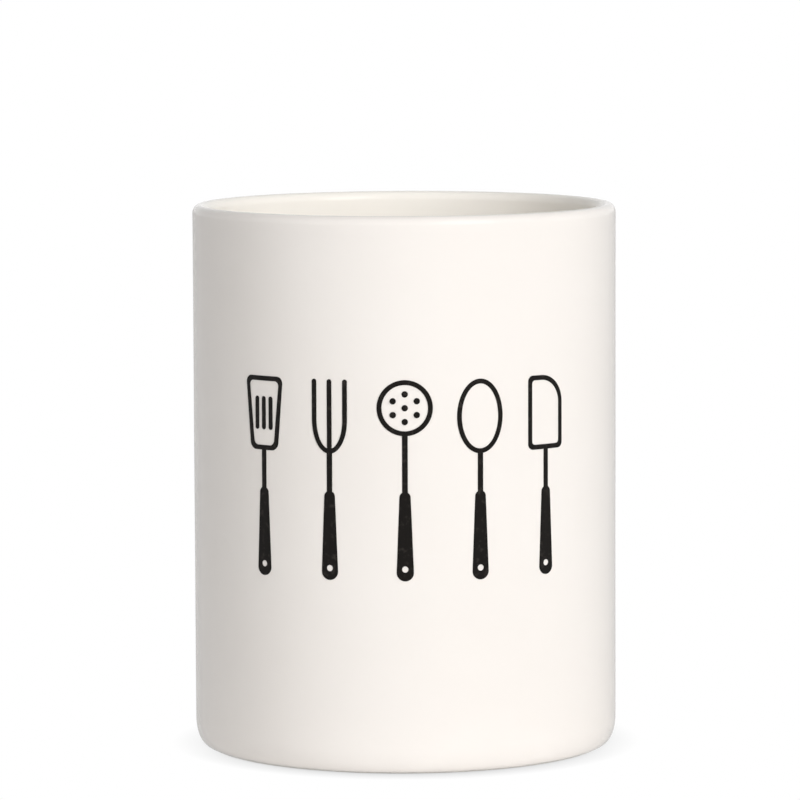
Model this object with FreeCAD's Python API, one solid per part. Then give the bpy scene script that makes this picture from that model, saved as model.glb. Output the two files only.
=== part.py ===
# Utensil crock: a plain cylindrical pot of fired clay, glazed inside and out, with a printed row of tools.
# Millimetres, +Z up, origin on the table at the middle of the foot. The print faces -Y.
import FreeCAD
import Part
import math
import os

# Whole crock
crock_height = 150.0
crock_diameter = 117.0
wall_thickness = 4.0
floor_thickness = 5.0
glaze_thickness = 0.3
ink_thickness = 0.1

# Lip: half an ellipse over the wall
lip_height = 2.6

# Rounding where the floor meets the wall, inside
inside_corner = 7.0

# Rounding of the lower edge, outside: how far it draws in, and how far it reaches up
corner_inset = 3.0
corner_height = 7.0

# Foot ring of bare clay: a step in from the glaze, a short straight side, a rounded edge
foot_step = 0.2
foot_width = 4.0
foot_side = 0.1
foot_edge = 0.2

# Recess in the underside, inside the foot ring
recess_side = 0.4
recess_corner = 1.2

# Printed row: its middle as a share of the crock's height, and the step between tools as a share of a turn
print_middle_share = 0.53
mark_step_share = 0.056

# Each printed tool, from its lower end up: handle, neck, head
handle_length = 24.0
handle_end_width = 4.6
handle_neck_width = 3.0
hole_diameter = 1.7
hole_inset = 3.2
neck_length = 10.0
neck_width = 1.5
head_length = 20.0
line_width = 1.3

# Heads
spoon_width = 13.0
turner_top_width = 13.0
turner_base_width = 9.5
turner_corner = 2.0
turner_slot_shares = (-0.25, 0.0, 0.25)
turner_slot_length = 9.0
fork_width = 10.0
fork_root = 9.0
fork_tine_shares = (-0.5, 0.0, 0.5)
skimmer_diameter = 15.0
skimmer_dot = 1.7
skimmer_dot_circle = 7.4
skimmer_dots_round = 6
scraper_width = 12.0
scraper_corner = 1.6
scraper_shoulder = 7.5

# Room for cuts to run past the surface they cut
overrun = 2.0

# Degrees
full_turn = 360

# Radii and heights that follow
outer_radius = crock_diameter / 2
inner_radius = outer_radius - wall_thickness
crest_radius = outer_radius - wall_thickness / 2
heel_radius = outer_radius - corner_inset
foot_outer = heel_radius - foot_step
foot_inner = foot_outer - foot_width
foot_height = foot_edge + foot_side
recess_start = foot_edge + recess_side
recess_depth = recess_start + recess_corner
floor_top = recess_depth + floor_thickness
corner_top = foot_height + corner_height
lip_base = crock_height - lip_height

# The printed row
mark_height = handle_length + neck_length + head_length
mark_bottom = print_middle_share * crock_height - mark_height / 2
head_bottom = mark_height - head_length


class Corner(tuple):
    # A point that an outline doesn't reach, because a quarter of an ellipse rounds it off.
    pass


def at(point):
    x, z = point
    return FreeCAD.Vector(x, 0, z)


def quarter(start, corner, end):
    # A quarter of an ellipse as a rational curve: its middle weight is the cosine of 45 degrees.
    curve = Part.BSplineCurve()
    poles = [at(start), at(corner), at(end)]
    curve.buildFromPolesMultsKnots(poles, [3, 3], [0, 1], False, 2, [1, math.sqrt(0.5), 1])
    return curve.toShape()


def path(*points):
    # Edges in the XZ plane through the points, straight except where a Corner rounds them.
    edges = []
    for start, end, beyond in zip(points, points[1:], points[2:] + (None,)):
        if isinstance(end, Corner):
            edges.append(quarter(start, end, beyond))
        elif not isinstance(start, Corner):
            edges.append(Part.makeLine(at(start), at(end)))
    return edges


def face(edges):
    return Part.Face(Part.Wire(Part.__sortEdges__(edges)))


def closed(*points):
    return face(path(*points, points[0]))


def turned(edges):
    return face(edges).revolve(FreeCAD.Vector(0, 0, 0), FreeCAD.Vector(0, 0, 1), full_turn)


# The three glazed lines of the section, each at a depth below the finished surface
def outside_line(depth):
    side = outer_radius - depth
    low = foot_height + depth
    top = crock_height - depth
    return path(
        (heel_radius, low),
        Corner((side, low)),
        (side, corner_top),
        (side, lip_base),
        Corner((side, top)),
        (crest_radius, top),
    )


def inside_line(depth):
    side = inner_radius + depth
    low = floor_top - depth
    top = crock_height - depth
    return path(
        (crest_radius, top),
        Corner((side, top)),
        (side, lip_base),
        (side, floor_top + inside_corner),
        Corner((side, low)),
        (inner_radius - inside_corner, low),
        (0, low),
    )


def underside_line(depth):
    side = foot_inner - glaze_thickness + depth
    top = recess_depth + depth
    return path(
        (0, top),
        (foot_inner - glaze_thickness - recess_corner, top),
        Corner((side, top)),
        (side, recess_start),
    )


# The bare foot ring, from the recess down, across and up to the heel
def foot_line():
    heel_low = foot_height + glaze_thickness
    return path(
        (foot_inner, recess_start),
        (foot_inner, foot_edge),
        Corner((foot_inner, 0)),
        (foot_inner + foot_edge, 0),
        (foot_outer - foot_edge, 0),
        Corner((foot_outer, 0)),
        (foot_outer, foot_edge),
        (foot_outer, heel_low),
        (heel_radius, heel_low),
    )


def crock_body():
    bare = glaze_thickness
    axis = path((0, floor_top - bare), (0, recess_depth + bare))
    return turned(underside_line(bare) + foot_line() + outside_line(bare) + inside_line(bare) + axis)


def crest_edge():
    # Where the outer and the inner coat meet
    return path((crest_radius, crock_height - glaze_thickness), (crest_radius, crock_height))


def outer_glaze():
    low_end = path((heel_radius, foot_height), (heel_radius, foot_height + glaze_thickness))
    return turned(outside_line(0) + outside_line(glaze_thickness) + crest_edge() + low_end)


def inner_glaze():
    axis = path((0, floor_top), (0, floor_top - glaze_thickness))
    return turned(inside_line(0) + inside_line(glaze_thickness) + crest_edge() + axis)


def base_glaze():
    axis = path((0, recess_depth), (0, recess_depth + glaze_thickness))
    rim = path((foot_inner - glaze_thickness, recess_start), (foot_inner, recess_start))
    return turned(underside_line(0) + underside_line(glaze_thickness) + axis + rim)


# Flat shapes of the print, with x across and z up from the lower end of the tool
def oval(x, z, half_width, half_height):
    left, right = x - half_width, x + half_width
    low, high = z - half_height, z + half_height
    return closed(
        (x, low),
        Corner((right, low)),
        (right, z),
        Corner((right, high)),
        (x, high),
        Corner((left, high)),
        (left, z),
        Corner((left, low)),
    )


def bar(x, low, high, width):
    # An upright stroke with square ends
    left, right = x - width / 2, x + width / 2
    return closed((left, low), (right, low), (right, high), (left, high))


def round_bar(x, low, high, width):
    # An upright stroke with round ends
    half = width / 2
    ends = [oval(x, low + half, half, half), oval(x, high - half, half, half)]
    return bar(x, low + half, high - half, width).fuse(ends)


def ring(x, z, half_width, half_height):
    hole = oval(x, z, half_width - line_width, half_height - line_width)
    return oval(x, z, half_width, half_height).cut(hole)


def handle():
    end, neck = handle_end_width / 2, handle_neck_width / 2
    grip = closed(
        (0, 0),
        Corner((end, 0)),
        (end, end),
        (neck, handle_length - neck),
        Corner((neck, handle_length)),
        (0, handle_length),
        Corner((-neck, handle_length)),
        (-neck, handle_length - neck),
        (-end, end),
        Corner((-end, 0)),
    )
    return grip.cut(oval(0, hole_inset, hole_diameter / 2, hole_diameter / 2))


def stem(top):
    # Handle and neck, run into the handle and into the line that the head starts with
    return [handle(), bar(0, handle_length - handle_neck_width / 2, top + line_width / 2, neck_width)]


def spoon():
    middle = head_bottom + head_length / 2
    return stem(head_bottom) + [ring(0, middle, spoon_width / 2, head_length / 2)]


def turner_blade(inset):
    # A blade that widens upwards, with its corners rounded
    base, top = turner_base_width / 2 - inset, turner_top_width / 2 - inset
    low, high = head_bottom + inset, mark_height - inset
    curve = turner_corner - inset / 2
    lean = (top - base) / (high - low) * curve
    return closed(
        (-base + curve, low),
        (base - curve, low),
        Corner((base, low)),
        (base + lean, low + curve),
        (top - lean, high - curve),
        Corner((top, high)),
        (top - curve, high),
        (curve - top, high),
        Corner((-top, high)),
        (lean - top, high - curve),
        (-base - lean, low + curve),
        Corner((-base, low)),
    )


def turner():
    middle = head_bottom + head_length / 2
    slot_low = middle - turner_slot_length / 2
    slots = [
        round_bar(share * turner_base_width, slot_low, slot_low + turner_slot_length, line_width)
        for share in turner_slot_shares
    ]
    return stem(head_bottom) + [turner_blade(0).cut(turner_blade(line_width))] + slots


def fork():
    # Tines on the rim of a half oval root
    half = fork_width / 2
    root_top = head_bottom + fork_root
    above = bar(0, root_top, root_top + fork_root + overrun, fork_width + overrun)
    root = ring(0, root_top, half, fork_root).cut(above)
    outer_tine = half - line_width / 2
    tines = []
    for share in fork_tine_shares:
        low = root_top - line_width / 2 if share else head_bottom
        tines.append(round_bar(share * 2 * outer_tine, low, mark_height, line_width))
    return stem(head_bottom) + [root] + tines


def skimmer():
    half = skimmer_diameter / 2
    middle = mark_height - half
    dots = [oval(0, middle, skimmer_dot / 2, skimmer_dot / 2)]
    for step in range(skimmer_dots_round):
        turn = 2 * math.pi * step / skimmer_dots_round
        x = math.sin(turn) * skimmer_dot_circle / 2
        z = middle + math.cos(turn) * skimmer_dot_circle / 2
        dots.append(oval(x, z, skimmer_dot / 2, skimmer_dot / 2))
    return stem(mark_height - skimmer_diameter) + [ring(0, middle, half, half)] + dots


def scraper_blade(inset):
    # A flat blade with one round shoulder
    side = scraper_width / 2 - inset
    low, high = head_bottom + inset, mark_height - inset
    curve = scraper_corner - inset / 2
    shoulder = scraper_shoulder - inset
    return closed(
        (curve - side, low),
        (side - curve, low),
        Corner((side, low)),
        (side, low + curve),
        (side, high - shoulder),
        Corner((side, high)),
        (side - shoulder, high),
        (curve - side, high),
        Corner((-side, high)),
        (-side, high - curve),
        (-side, low + curve),
        Corner((-side, low)),
    )


def scraper():
    return stem(head_bottom) + [scraper_blade(0).cut(scraper_blade(line_width))]


def printed(shapes, place):
    # The drawing pressed on to the outer coat as a film, and turned to its place in the row
    blocks = [shape.extrude(FreeCAD.Vector(0, -outer_radius - overrun, 0)) for shape in shapes]
    drawing = blocks[0].fuse(blocks[1:]).removeSplitter()
    drawing.translate(FreeCAD.Vector(0, 0, mark_bottom))
    base = FreeCAD.Vector(0, 0, mark_bottom - overrun)
    band_height = mark_height + 2 * overrun
    skin = Part.makeCylinder(outer_radius + ink_thickness, band_height, base)
    film = drawing.common(skin.cut(Part.makeCylinder(outer_radius, band_height, base)))
    film.rotate(FreeCAD.Vector(0, 0, 0), FreeCAD.Vector(0, 0, 1), place * mark_step_share * full_turn)
    return film


pieces = {
    "crock_body": crock_body(),
    "outer_glaze": outer_glaze(),
    "inner_glaze": inner_glaze(),
    "base_glaze": base_glaze(),
}
row = {"turner": turner, "fork": fork, "skimmer": skimmer, "spoon": spoon, "scraper": scraper}
for number, (name, draw) in enumerate(row.items()):
    pieces["print_" + name] = printed(draw(), number - (len(row) - 1) / 2)

os.makedirs("parts", exist_ok=True)
for name, shape in pieces.items():
    shape.exportStep("parts/" + name + ".step")
    print(name, len(shape.Solids), "solids,", round(shape.Volume, 2), "cubic mm, valid", shape.isValid())
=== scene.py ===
import math

import bpy
import numpy as np
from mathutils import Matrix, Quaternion, Vector


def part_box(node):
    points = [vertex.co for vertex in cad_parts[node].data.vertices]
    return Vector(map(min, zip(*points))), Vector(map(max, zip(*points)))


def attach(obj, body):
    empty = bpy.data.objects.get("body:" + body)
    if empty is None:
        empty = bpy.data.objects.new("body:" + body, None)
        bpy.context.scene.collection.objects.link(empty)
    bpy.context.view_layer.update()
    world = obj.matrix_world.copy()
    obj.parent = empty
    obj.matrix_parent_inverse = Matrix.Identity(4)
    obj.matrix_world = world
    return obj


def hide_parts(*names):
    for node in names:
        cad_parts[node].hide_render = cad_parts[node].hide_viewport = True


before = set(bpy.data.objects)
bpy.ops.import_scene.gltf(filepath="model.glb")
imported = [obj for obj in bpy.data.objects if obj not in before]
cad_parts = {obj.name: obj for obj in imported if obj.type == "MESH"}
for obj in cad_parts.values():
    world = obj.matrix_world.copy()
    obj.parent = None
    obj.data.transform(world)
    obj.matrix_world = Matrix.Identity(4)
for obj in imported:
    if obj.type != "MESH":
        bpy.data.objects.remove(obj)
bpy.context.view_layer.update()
bpy.context.scene.view_settings.view_transform = "Standard"
mm = 0.001
closePoints = 1e-7  # metres, nearer than which two points count as one


# sizes that the CAD pieces already hold, in metres
def sizesFromFrame():
    outerLow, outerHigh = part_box("outer_glaze")
    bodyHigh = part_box("crock_body")[1]
    innerLow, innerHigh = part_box("inner_glaze")
    baseLow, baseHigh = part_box("base_glaze")
    coat = outerHigh.x - bodyHigh.x
    return {
        "coat": coat,
        "outerRadius": outerHigh.x,
        "crestRadius": innerHigh.x,
        "innerRadius": 2 * innerHigh.x - outerHigh.x,  # the crest is over the middle of the wall
        "height": outerHigh.z,
        "footHeight": outerLow.z,
        "floorTop": innerLow.z + coat,
        "recessStart": baseLow.z,
        "recessTop": baseHigh.z - coat,
        "footInner": baseHigh.x,
    }


crock = sizesFromFrame()
print("sizes from the frame, mm:", {name: round(size / mm, 2) for name, size in crock.items()})

# section of the pot: its roundings, as the CAD pieces have them, and the steps of its meshes
section = {
    "lipHeight": 2.6 * mm,
    "insideCorner": 7.0 * mm,
    "cornerInset": 3.0 * mm,  # lower corner outside, in from the wall
    "cornerHeight": 7.0 * mm,  # and up from the foot
    "footStep": 0.2 * mm,  # bare ring, in from the glazed heel
    "footEdge": 0.2 * mm,
    "recessCorner": 1.2 * mm,
    "roundSteps": 20,  # points on each rounding
    "wallSteps": 48,  # points up the straight wall
    "footSteps": 6,  # points across the foot ring
    "beadSteps": 9,  # points on the rounded end of a coat
    "turnSteps": 288,  # points round the axis
    "sharpAngle": 35,  # degrees between faces that keep their edge
}

# hand-made unevenness of the wall, always inwards so the box stays
wobble = {
    "depth": 0.05 * mm,
    "wavesRound": (2, 3, 5),
    "waveHeight": 70 * mm,
    "waveShift": 1.7,  # radians from one wave to the next
}


def linear(hexText):
    # sRGB hex to linear light, with an alpha of 1
    parts = np.array([int(hexText[i : i + 2], 16) for i in (1, 3, 5)]) / 255
    bright = np.where(parts <= 0.04045, parts / 12.92, ((parts + 0.055) / 1.055) ** 2.4)
    return (*[float(part) for part in bright], 1.0)


def addNode(tree, kind, settings=None, links=None):
    # one node: settings are sockets by name or number, or the node's own options
    # a Mix of colours has its factor at 0, its colours at 6 and 7, and its result at 2
    node = tree.nodes.new(kind)
    for name, value in (settings or {}).items():
        if isinstance(name, int) or name in node.inputs:
            node.inputs[name].default_value = value
        else:
            setattr(node, name, value)
    for name, socket in (links or {}).items():
        tree.links.new(socket, node.inputs[name])
    return node


def newMaterial(name):
    material = bpy.data.materials.new(name)
    material.use_nodes = True
    material.node_tree.nodes.clear()
    return material, material.node_tree


def perMetre(sizeInMm):
    # texture scale for a pattern that repeats about every so many mm
    return 1 / (sizeInMm * mm)


# section lines


def quarterRound(start, corner, end):
    # quarter of an ellipse from start to end, bulging to the corner: end + start - corner is its centre
    start, corner, end = (np.array(point) for point in (start, corner, end))
    turn = np.linspace(0, math.pi / 2, section["roundSteps"])[:, None]
    centre = start + end - corner
    return centre + (start - centre) * np.cos(turn) + (end - centre) * np.sin(turn)


def straight(start, end, steps=2):
    # evenly spaced points from start to end
    return np.linspace(start, end, steps)


def joinLines(*lines):
    # one line of points, with doubled points dropped
    points = np.vstack(lines)
    apart = np.linalg.norm(np.diff(points, axis=0), axis=1) > closePoints
    return points[np.concatenate([[True], apart])]


def outsideLine(depth):
    # heel, wall and lip of the outside, at a depth below the glazed surface
    side = crock["outerRadius"] - depth
    low = crock["footHeight"] + depth
    top = crock["height"] - depth
    heel = crock["outerRadius"] - section["cornerInset"]
    cornerTop = crock["footHeight"] + section["cornerHeight"]
    lipBase = crock["height"] - section["lipHeight"]
    return joinLines(
        quarterRound((heel, low), (side, low), (side, cornerTop)),
        straight((side, cornerTop), (side, lipBase), section["wallSteps"]),
        quarterRound((side, lipBase), (side, top), (crock["crestRadius"], top)),
    )


def insideLine(depth):
    # lip, wall, corner and floor of the inside
    side = crock["innerRadius"] + depth
    low = crock["floorTop"] - depth
    top = crock["height"] - depth
    lipBase = crock["height"] - section["lipHeight"]
    cornerTop = crock["floorTop"] + section["insideCorner"]
    floorEdge = crock["innerRadius"] - section["insideCorner"]
    return joinLines(
        quarterRound((crock["crestRadius"], top), (side, top), (side, lipBase)),
        straight((side, lipBase), (side, cornerTop), section["wallSteps"]),
        quarterRound((side, cornerTop), (side, low), (floorEdge, low)),
        straight((floorEdge, low), (0, low), section["roundSteps"]),
    )


def undersideLine(depth):
    # recess in the underside, from the axis out to the foot ring
    side = crock["footInner"] - crock["coat"] + depth
    top = crock["recessTop"] + depth
    flatEdge = crock["footInner"] - crock["coat"] - section["recessCorner"]
    return joinLines(
        straight((0, top), (flatEdge, top), section["roundSteps"]),
        quarterRound((flatEdge, top), (side, top), (side, crock["recessStart"])),
    )


def footLine():
    # bare ring, down from the recess, across and up to the heel
    edge = section["footEdge"]
    inner = crock["footInner"]
    heel = crock["outerRadius"] - section["cornerInset"]
    outer = heel - section["footStep"]
    heelLow = crock["footHeight"] + crock["coat"]
    return joinLines(
        straight((inner, crock["recessStart"]), (inner, edge)),
        quarterRound((inner, edge), (inner, 0), (inner + edge, 0)),
        straight((inner + edge, 0), (outer - edge, 0), section["footSteps"]),
        quarterRound((outer - edge, 0), (outer, 0), (outer, edge)),
        straight((outer, edge), (outer, heelLow)),
        straight((outer, heelLow), (heel, heelLow)),
    )


def bead(start, end, bulge):
    # rounded end of a coat: half an ellipse from start to end, which stands out by the bulge
    start, end = np.array(start), np.array(end)
    turn = np.linspace(0, math.pi, section["beadSteps"])[:, None]
    middle = (start + end) / 2
    return middle + (start - middle) * np.cos(turn) + np.array(bulge) * np.sin(turn)


# meshes


def unevenness(angle, height):
    # sum of slow waves round the axis and up the wall, scaled to lie between -depth and 0
    waves = 0
    for number, count in enumerate(wobble["wavesRound"]):
        climb = 2 * math.pi * height / wobble["waveHeight"] / (number + 1)
        waves = waves + np.sin(count * angle + climb + wobble["waveShift"] * number) / (number + 1)
    reach = sum(1 / (number + 1) for number in range(len(wobble["wavesRound"])))
    return wobble["depth"] * (waves / reach - 1) / 2


def latheMesh(name, line, closedLine, uneven=None):
    # points of the line carried round the axis: x = r cos a, y = r sin a, z = z; r gains the unevenness
    turnSteps = section["turnSteps"]
    onAxis = line[:, 0] < closePoints
    rings = line[~onAxis]
    angle = np.linspace(0, 2 * math.pi, turnSteps, endpoint=False)[None, :]
    radius = np.repeat(rings[:, :1], turnSteps, axis=1)
    height = np.repeat(rings[:, 1:], turnSteps, axis=1)
    if uneven is not None:
        radius = radius + uneven[~onAxis][:, None] * unevenness(angle, height)
    grid = np.stack([radius * np.cos(angle), radius * np.sin(angle), height], axis=-1)
    count = len(rings)
    index = np.arange(count * turnSteps).reshape(count, turnSteps)
    across = np.roll(index, -1, axis=1)
    if closedLine:
        above, aboveAcross = np.roll(index, -1, axis=0), np.roll(across, -1, axis=0)
    else:
        above, aboveAcross = index[1:], across[1:]
        index, across = index[:-1], across[:-1]
    quads = np.stack([index, across, aboveAcross, above], axis=-1).reshape(-1, 4)
    points = grid.reshape(-1, 3)
    triangles = np.zeros((0, 3), int)
    if not closedLine:
        first, last = np.arange(turnSteps), np.arange(turnSteps) + (count - 1) * turnSteps
        start, end = len(points), len(points) + 1
        points = np.vstack([points, [[0, 0, line[0, 1]], [0, 0, line[-1, 1]]]])
        startFan = np.stack([np.full(turnSteps, start), np.roll(first, -1), first], axis=-1)
        endFan = np.stack([np.full(turnSteps, end), last, np.roll(last, -1)], axis=-1)
        triangles = np.vstack([startFan, endFan])
    return meshPiece(name, points, quads, triangles)


def meshPiece(name, points, quads, triangles):
    mesh = bpy.data.meshes.new(name)
    mesh.from_pydata(points.tolist(), [], quads.tolist() + triangles.tolist())
    mesh.polygons.foreach_set("use_smooth", np.ones(len(mesh.polygons), bool))
    mesh.set_sharp_from_angle(angle=math.radians(section["sharpAngle"]))
    mesh.update()
    piece = bpy.data.objects.new(name, mesh)
    bpy.context.scene.collection.objects.link(piece)
    return piece


def settle(piece, node, material):
    piece.data.materials.append(material)
    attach(piece, "root")
    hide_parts(node)


# materials

glazeLook = {
    # the inside is painted whiter: a lighter copy of the same glaze that stands in for more light inside
    # the pot; roughness runs from the white to its clouds
    "outsideGlaze": {"white": "#F4EFEA", "cloud": "#F1EBE5", "roughness": (0.08, 0.14)},
    # painted light: whiter than the outside glaze to brighten the inside of the pot
    "insideGlaze": {"white": "#FCF8F1", "cloud": "#F9F4EC", "roughness": (0.10, 0.16)},
    "cloudMm": 45,
    "cloudDetail": 3.0,
    "rippleMm": 3.0,  # orange peel of a sprayed glaze
    "rippleDetail": 1.0,
    "rippleHeight": 0.1 * mm,
    "rippleStrength": 0.05,
    "ior": 1.5,
}


def glossGlaze(name):
    # tin-white glaze, fired glossy: warm white, mirror-like, with a faint ripple
    material, tree = newMaterial(name)
    look = glazeLook[name]
    smooth, rough = look["roughness"]
    coords = addNode(tree, "ShaderNodeTexCoord")
    cloud = addNode(
        tree,
        "ShaderNodeTexNoise",
        {"Scale": perMetre(glazeLook["cloudMm"]), "Detail": glazeLook["cloudDetail"]},
        {"Vector": coords.outputs["Object"]},
    )
    colour = addNode(
        tree,
        "ShaderNodeMix",
        {"data_type": "RGBA", 6: linear(look["white"]), 7: linear(look["cloud"])},
        {0: cloud.outputs["Fac"]},
    )
    gloss = addNode(
        tree,
        "ShaderNodeMapRange",
        {"To Min": smooth, "To Max": rough},
        {"Value": cloud.outputs["Fac"]},
    )
    ripple = addNode(
        tree,
        "ShaderNodeTexNoise",
        {"Scale": perMetre(glazeLook["rippleMm"]), "Detail": glazeLook["rippleDetail"]},
        {"Vector": coords.outputs["Object"]},
    )
    bump = addNode(
        tree,
        "ShaderNodeBump",
        {"Strength": glazeLook["rippleStrength"], "Distance": glazeLook["rippleHeight"]},
        {"Height": ripple.outputs["Fac"]},
    )
    surface = addNode(
        tree,
        "ShaderNodeBsdfPrincipled",
        {"IOR": glazeLook["ior"]},
        {
            "Base Color": colour.outputs[2],
            "Roughness": gloss.outputs["Result"],
            "Normal": bump.outputs["Normal"],
        },
    )
    addNode(tree, "ShaderNodeOutputMaterial", links={"Surface": surface.outputs["BSDF"]})
    return material


clayLook = {
    "pale": "#F2EFE9",
    "dark": "#E8E3DA",
    "shadeRange": (0.15, 0.4),  # of grit times patch, from dark to pale
    "gritMm": 0.9,  # coarser than real grit, so that it shows
    "gritDetail": 4.0,
    "gritHeight": 0.1 * mm,
    "gritStrength": 0.5,
    "patchMm": 12,
    "patchDetail": 2.0,
    "roughness": 0.85,
    "ior": 1.5,
}


def bareClay():
    # fired biscuit, wiped clean of glaze: matt, chalky and finely gritty
    material, tree = newMaterial("bareClay")
    darkFrom, paleFrom = clayLook["shadeRange"]
    coords = addNode(tree, "ShaderNodeTexCoord")
    grit = addNode(
        tree,
        "ShaderNodeTexNoise",
        {"Scale": perMetre(clayLook["gritMm"]), "Detail": clayLook["gritDetail"]},
        {"Vector": coords.outputs["Object"]},
    )
    patch = addNode(
        tree,
        "ShaderNodeTexNoise",
        {"Scale": perMetre(clayLook["patchMm"]), "Detail": clayLook["patchDetail"]},
        {"Vector": coords.outputs["Object"]},
    )
    both = addNode(
        tree,
        "ShaderNodeMath",
        {"operation": "MULTIPLY"},
        {0: grit.outputs["Fac"], 1: patch.outputs["Fac"]},
    )
    shade = addNode(
        tree,
        "ShaderNodeMapRange",
        {"From Min": darkFrom, "From Max": paleFrom},
        {"Value": both.outputs[0]},
    )
    colour = addNode(
        tree,
        "ShaderNodeMix",
        {"data_type": "RGBA", 6: linear(clayLook["dark"]), 7: linear(clayLook["pale"])},
        {0: shade.outputs["Result"]},
    )
    bump = addNode(
        tree,
        "ShaderNodeBump",
        {"Strength": clayLook["gritStrength"], "Distance": clayLook["gritHeight"]},
        {"Height": grit.outputs["Fac"]},
    )
    surface = addNode(
        tree,
        "ShaderNodeBsdfPrincipled",
        {"Roughness": clayLook["roughness"], "IOR": clayLook["ior"]},
        {"Base Color": colour.outputs[2], "Normal": bump.outputs["Normal"]},
    )
    addNode(tree, "ShaderNodeOutputMaterial", links={"Surface": surface.outputs["BSDF"]})
    return material


inkLook = {
    "black": "#14110F",
    "worn": "#2E2A27",
    "wornRange": (0.55, 0.75),  # of the specks, from black to worn
    "speckMm": 1.4,
    "speckDetail": 2.0,
    "roughness": 0.45,
    "ior": 1.5,
    "specularLevel": 0.15,
}


def firedInk():
    # black ceramic print, fired on: dense and nearly matt, with a few thin spots
    material, tree = newMaterial("firedInk")
    blackFrom, wornFrom = inkLook["wornRange"]
    coords = addNode(tree, "ShaderNodeTexCoord")
    speck = addNode(
        tree,
        "ShaderNodeTexNoise",
        {"Scale": perMetre(inkLook["speckMm"]), "Detail": inkLook["speckDetail"]},
        {"Vector": coords.outputs["Object"]},
    )
    worn = addNode(
        tree,
        "ShaderNodeMapRange",
        {"From Min": blackFrom, "From Max": wornFrom},
        {"Value": speck.outputs["Fac"]},
    )
    colour = addNode(
        tree,
        "ShaderNodeMix",
        {"data_type": "RGBA", 6: linear(inkLook["black"]), 7: linear(inkLook["worn"])},
        {0: worn.outputs["Result"]},
    )
    surface = addNode(
        tree,
        "ShaderNodeBsdfPrincipled",
        {
            "Roughness": inkLook["roughness"],
            "IOR": inkLook["ior"],
            "Specular IOR Level": inkLook["specularLevel"],
        },
        {"Base Color": colour.outputs[2]},
    )
    addNode(tree, "ShaderNodeOutputMaterial", links={"Surface": surface.outputs["BSDF"]})
    return material


outsideGlaze = glossGlaze("outsideGlaze")
insideGlaze = glossGlaze("insideGlaze")
clay = bareClay()
ink = firedInk()
print("materials made")

# pieces of the pot


def makePot():
    coat = crock["coat"]
    foot = crock["footHeight"]
    heel = crock["outerRadius"] - section["cornerInset"]
    outside, outsideBare = outsideLine(0), outsideLine(coat)
    heelEnd = bead((heel, foot + coat), (heel, foot), (-section["footStep"] / 2, 0))
    outerLine = joinLines(outside, outsideBare[::-1], heelEnd[1:-1])
    # the unevenness fades out at the heel and the lip, where the coats end
    fromHeel = (outside[:, 1] - foot) / section["cornerHeight"]
    fromLip = (crock["height"] - outside[:, 1]) / section["lipHeight"] - 1
    fade = np.clip(fromHeel, 0, 1) * np.clip(fromLip, 0, 1)
    outer = latheMesh("outerGlazeSkin", outerLine, True, np.pad(fade, (0, len(outerLine) - len(fade))))
    inside, insideBare = insideLine(0), insideLine(coat)
    innerLine = joinLines(inside[::-1], insideBare)
    inner = latheMesh("innerGlazeSkin", innerLine, False)
    bodyLine = joinLines(undersideLine(coat), footLine(), outsideLine(coat), insideLine(coat))
    body = latheMesh("clayBody", bodyLine, False)
    under, underBare = undersideLine(0), undersideLine(coat)
    ringEnd = bead(under[-1], underBare[-1], (0, -coat / 2))
    base = latheMesh("baseGlazeSkin", joinLines(under, ringEnd, underBare[::-1]), False)
    settle(outer, "outer_glaze", outsideGlaze)
    settle(inner, "inner_glaze", insideGlaze)
    settle(base, "base_glaze", outsideGlaze)
    settle(body, "crock_body", clay)
    print("pot made:", sum(len(piece.data.polygons) for piece in (outer, inner, base, body)), "faces")


makePot()

for name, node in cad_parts.items():
    if name.startswith("print_"):
        node.data.materials.clear()
        node.data.materials.append(ink)
print("print inked")

# camera, from the photograph's view

view = {
    "place": (0.0, -1.418, 0.2382),  # metres, as is the aim
    "aim": (-0.0013, 0.0, 0.0953),
    "roll": -0.0039,  # radians
    "lens": 231.1,  # mm, as is the sensor
    "sensor": 36,
    "clipStart": 0.01,  # metres
}


def makeCamera():
    data = bpy.data.cameras.new("camera")
    data.lens = view["lens"]
    data.sensor_width = view["sensor"]
    data.clip_start = view["clipStart"]
    camera = bpy.data.objects.new("camera", data)
    bpy.context.scene.collection.objects.link(camera)
    place, aim = Vector(view["place"]), Vector(view["aim"])
    turn = (aim - place).to_track_quat("-Z", "Y") @ Quaternion((0, 0, 1), view["roll"])
    camera.location = place
    camera.rotation_euler = turn.to_euler()
    bpy.context.scene.camera = camera


makeCamera()
print("camera set")

# studio

studio = {
    "fill": 0.105,  # strength of the world's light
    "floorShade": "#F4F4F4",
    "floorHalf": 1.2,  # metres, half of its side
    # shadow where the crock meets the table: darkest tones at the front and the sides, and the y of both
    "shadow": {
        "reach": 8 * mm,
        "frontTone": 0.62,
        "sideTone": 0.84,
        "frontPlace": -55 * mm,
        "sidePlace": -15 * mm,
        "samples": 32,
    },
    "greyCard": {"inner": 40 * mm, "radius": 400 * mm, "rise": 2 * mm, "lift": 0.2 * mm, "shade": 0.6},
    "lampDistance": 3.0,
    # soft round lamps: degrees, metres, watts
    # a mirrored one is seen only in the gloss of the glaze, where the others never are
    "lamps": {
        "key": {"azimuth": 36, "elevation": 26, "size": 1.8, "power": 81.0, "mirrored": False},
        "side": {"azimuth": -60, "elevation": 9, "size": 1.2, "power": 24.5, "mirrored": False},
        "back": {"azimuth": -168, "elevation": 9, "size": 1.4, "power": 50.0, "mirrored": False},
        "glint": {"azimuth": 36, "elevation": 28, "size": 1.8, "power": 8.0, "mirrored": True},
    },
}


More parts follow.
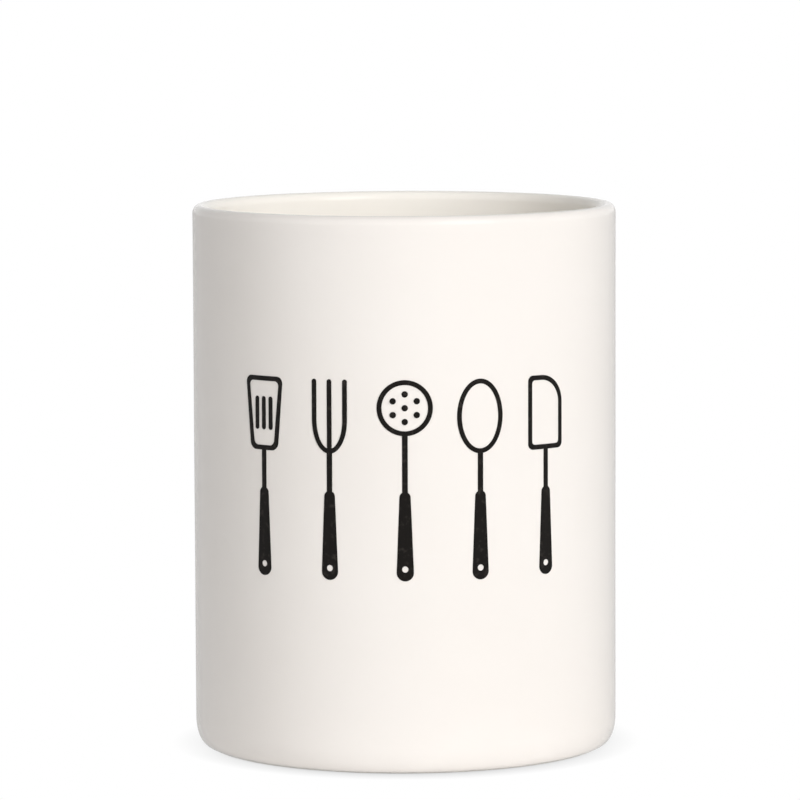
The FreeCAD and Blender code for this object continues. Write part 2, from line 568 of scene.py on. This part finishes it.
def seenRays(tree):
    # 1 for camera, glossy and transmission rays
    rays = addNode(tree, "ShaderNodeLightPath")
    two = addNode(
        tree,
        "ShaderNodeMath",
        {"operation": "MAXIMUM"},
        {0: rays.outputs["Is Camera Ray"], 1: rays.outputs["Is Glossy Ray"]},
    )
    return addNode(
        tree,
        "ShaderNodeMath",
        {"operation": "MAXIMUM"},
        {0: two.outputs[0], 1: rays.outputs["Is Transmission Ray"]},
    ).outputs[0]


def makeWorld():
    world = bpy.data.worlds.new("studioWorld")
    world.use_nodes = True
    tree = world.node_tree
    tree.nodes.clear()
    white = addNode(tree, "ShaderNodeBackground", {"Color": (1, 1, 1, 1), "Strength": 1.0})
    soft = addNode(tree, "ShaderNodeBackground", {"Color": (1, 1, 1, 1), "Strength": studio["fill"]})
    mixed = addNode(
        tree,
        "ShaderNodeMixShader",
        links={0: seenRays(tree), 1: soft.outputs[0], 2: white.outputs[0]},
    )
    addNode(tree, "ShaderNodeOutputWorld", links={"Surface": mixed.outputs[0]})
    bpy.context.scene.world = world


def makeFloor():
    # matt white for the light that it gives back; the eye sees plain white with a soft contact shadow
    material, tree = newMaterial("whiteTable")
    matt = addNode(tree, "ShaderNodeBsdfDiffuse", {"Color": linear(studio["floorShade"])})
    contact = studio["shadow"]
    clear = addNode(
        tree,
        "ShaderNodeAmbientOcclusion",
        {"Distance": contact["reach"], "samples": contact["samples"]},
    )
    coords = addNode(tree, "ShaderNodeTexCoord")
    place = addNode(tree, "ShaderNodeSeparateXYZ", links={0: coords.outputs["Object"]})
    darkest = addNode(
        tree,
        "ShaderNodeMapRange",
        {
            "From Min": contact["frontPlace"],
            "From Max": contact["sidePlace"],
            "To Min": contact["frontTone"],
            "To Max": contact["sideTone"],
        },
        {"Value": place.outputs["Y"]},
    )
    shadow = addNode(
        tree,
        "ShaderNodeMapRange",
        {"To Max": 1.0},
        {"Value": clear.outputs["AO"], "To Min": darkest.outputs["Result"]},
    )
    plain = addNode(tree, "ShaderNodeEmission", links={"Strength": shadow.outputs["Result"]})
    both = addNode(
        tree,
        "ShaderNodeMixShader",
        links={0: seenRays(tree), 1: matt.outputs[0], 2: plain.outputs[0]},
    )
    addNode(tree, "ShaderNodeOutputMaterial", links={"Surface": both.outputs[0]})
    half = studio["floorHalf"]
    corners = np.array([[-half, -half, 0], [half, -half, 0], [half, half, 0], [-half, half, 0]])
    mesh = bpy.data.meshes.new("floor")
    mesh.from_pydata(corners.tolist(), [], [[0, 1, 2, 3]])
    mesh.materials.append(material)
    floor = bpy.data.objects.new("floor", mesh)
    bpy.context.scene.collection.objects.link(floor)


def makeGreyCard():
    # grey card that lies round the crock and is turned up at its rim
    # only the gloss sees it, so that the crock's edges stand out from the white
    # two rings on the table and one above the lip, each x = r cos a, y = r sin a, joined by bands
    size = studio["greyCard"]
    material, tree = newMaterial("greyCard")
    light = addNode(tree, "ShaderNodeEmission", {"Strength": size["shade"]})
    addNode(tree, "ShaderNodeOutputMaterial", links={"Surface": light.outputs[0]})
    steps = section["turnSteps"]
    angle = np.linspace(0, 2 * math.pi, steps, endpoint=False)
    turned = np.stack([np.cos(angle), np.sin(angle), 0 * angle], axis=-1)
    low = np.array([0, 0, size["lift"]])
    high = np.array([0, 0, crock["height"] + size["rise"]])
    rings = [size["inner"] * turned + low, size["radius"] * turned + low, size["radius"] * turned + high]
    index = np.arange(2 * steps).reshape(2, steps)
    across = np.roll(index, -1, axis=1)
    bands = np.stack([index, across, across + steps, index + steps], axis=-1).reshape(-1, 4)
    mesh = bpy.data.meshes.new("greyCard")
    mesh.from_pydata(np.vstack(rings).tolist(), [], bands.tolist())
    mesh.materials.append(material)
    card = bpy.data.objects.new("greyCard", mesh)
    bpy.context.scene.collection.objects.link(card)
    card.visible_camera = False
    card.visible_diffuse = False
    card.visible_shadow = False


def makeLamp(name, lamp):
    # azimuth is to the right of the camera, elevation up from the table
    data = bpy.data.lights.new(name, "AREA")
    data.shape = "DISK"
    data.size = lamp["size"]
    data.energy = lamp["power"]
    light = bpy.data.objects.new(name, data)
    light.visible_glossy = lamp["mirrored"]
    light.visible_diffuse = not lamp["mirrored"]
    bpy.context.scene.collection.objects.link(light)
    turn, rise = math.radians(lamp["azimuth"]), math.radians(lamp["elevation"])
    away = Vector((math.sin(turn) * math.cos(rise), -math.cos(turn) * math.cos(rise), math.sin(rise)))
    light.location = Vector((0, 0, crock["height"] / 2)) + studio["lampDistance"] * away
    light.rotation_euler = (-away).to_track_quat("-Z", "Y").to_euler()


makeWorld()
makeFloor()
makeGreyCard()
for lampName, lamp in studio["lamps"].items():
    makeLamp(lampName, lamp)
print("studio lit")
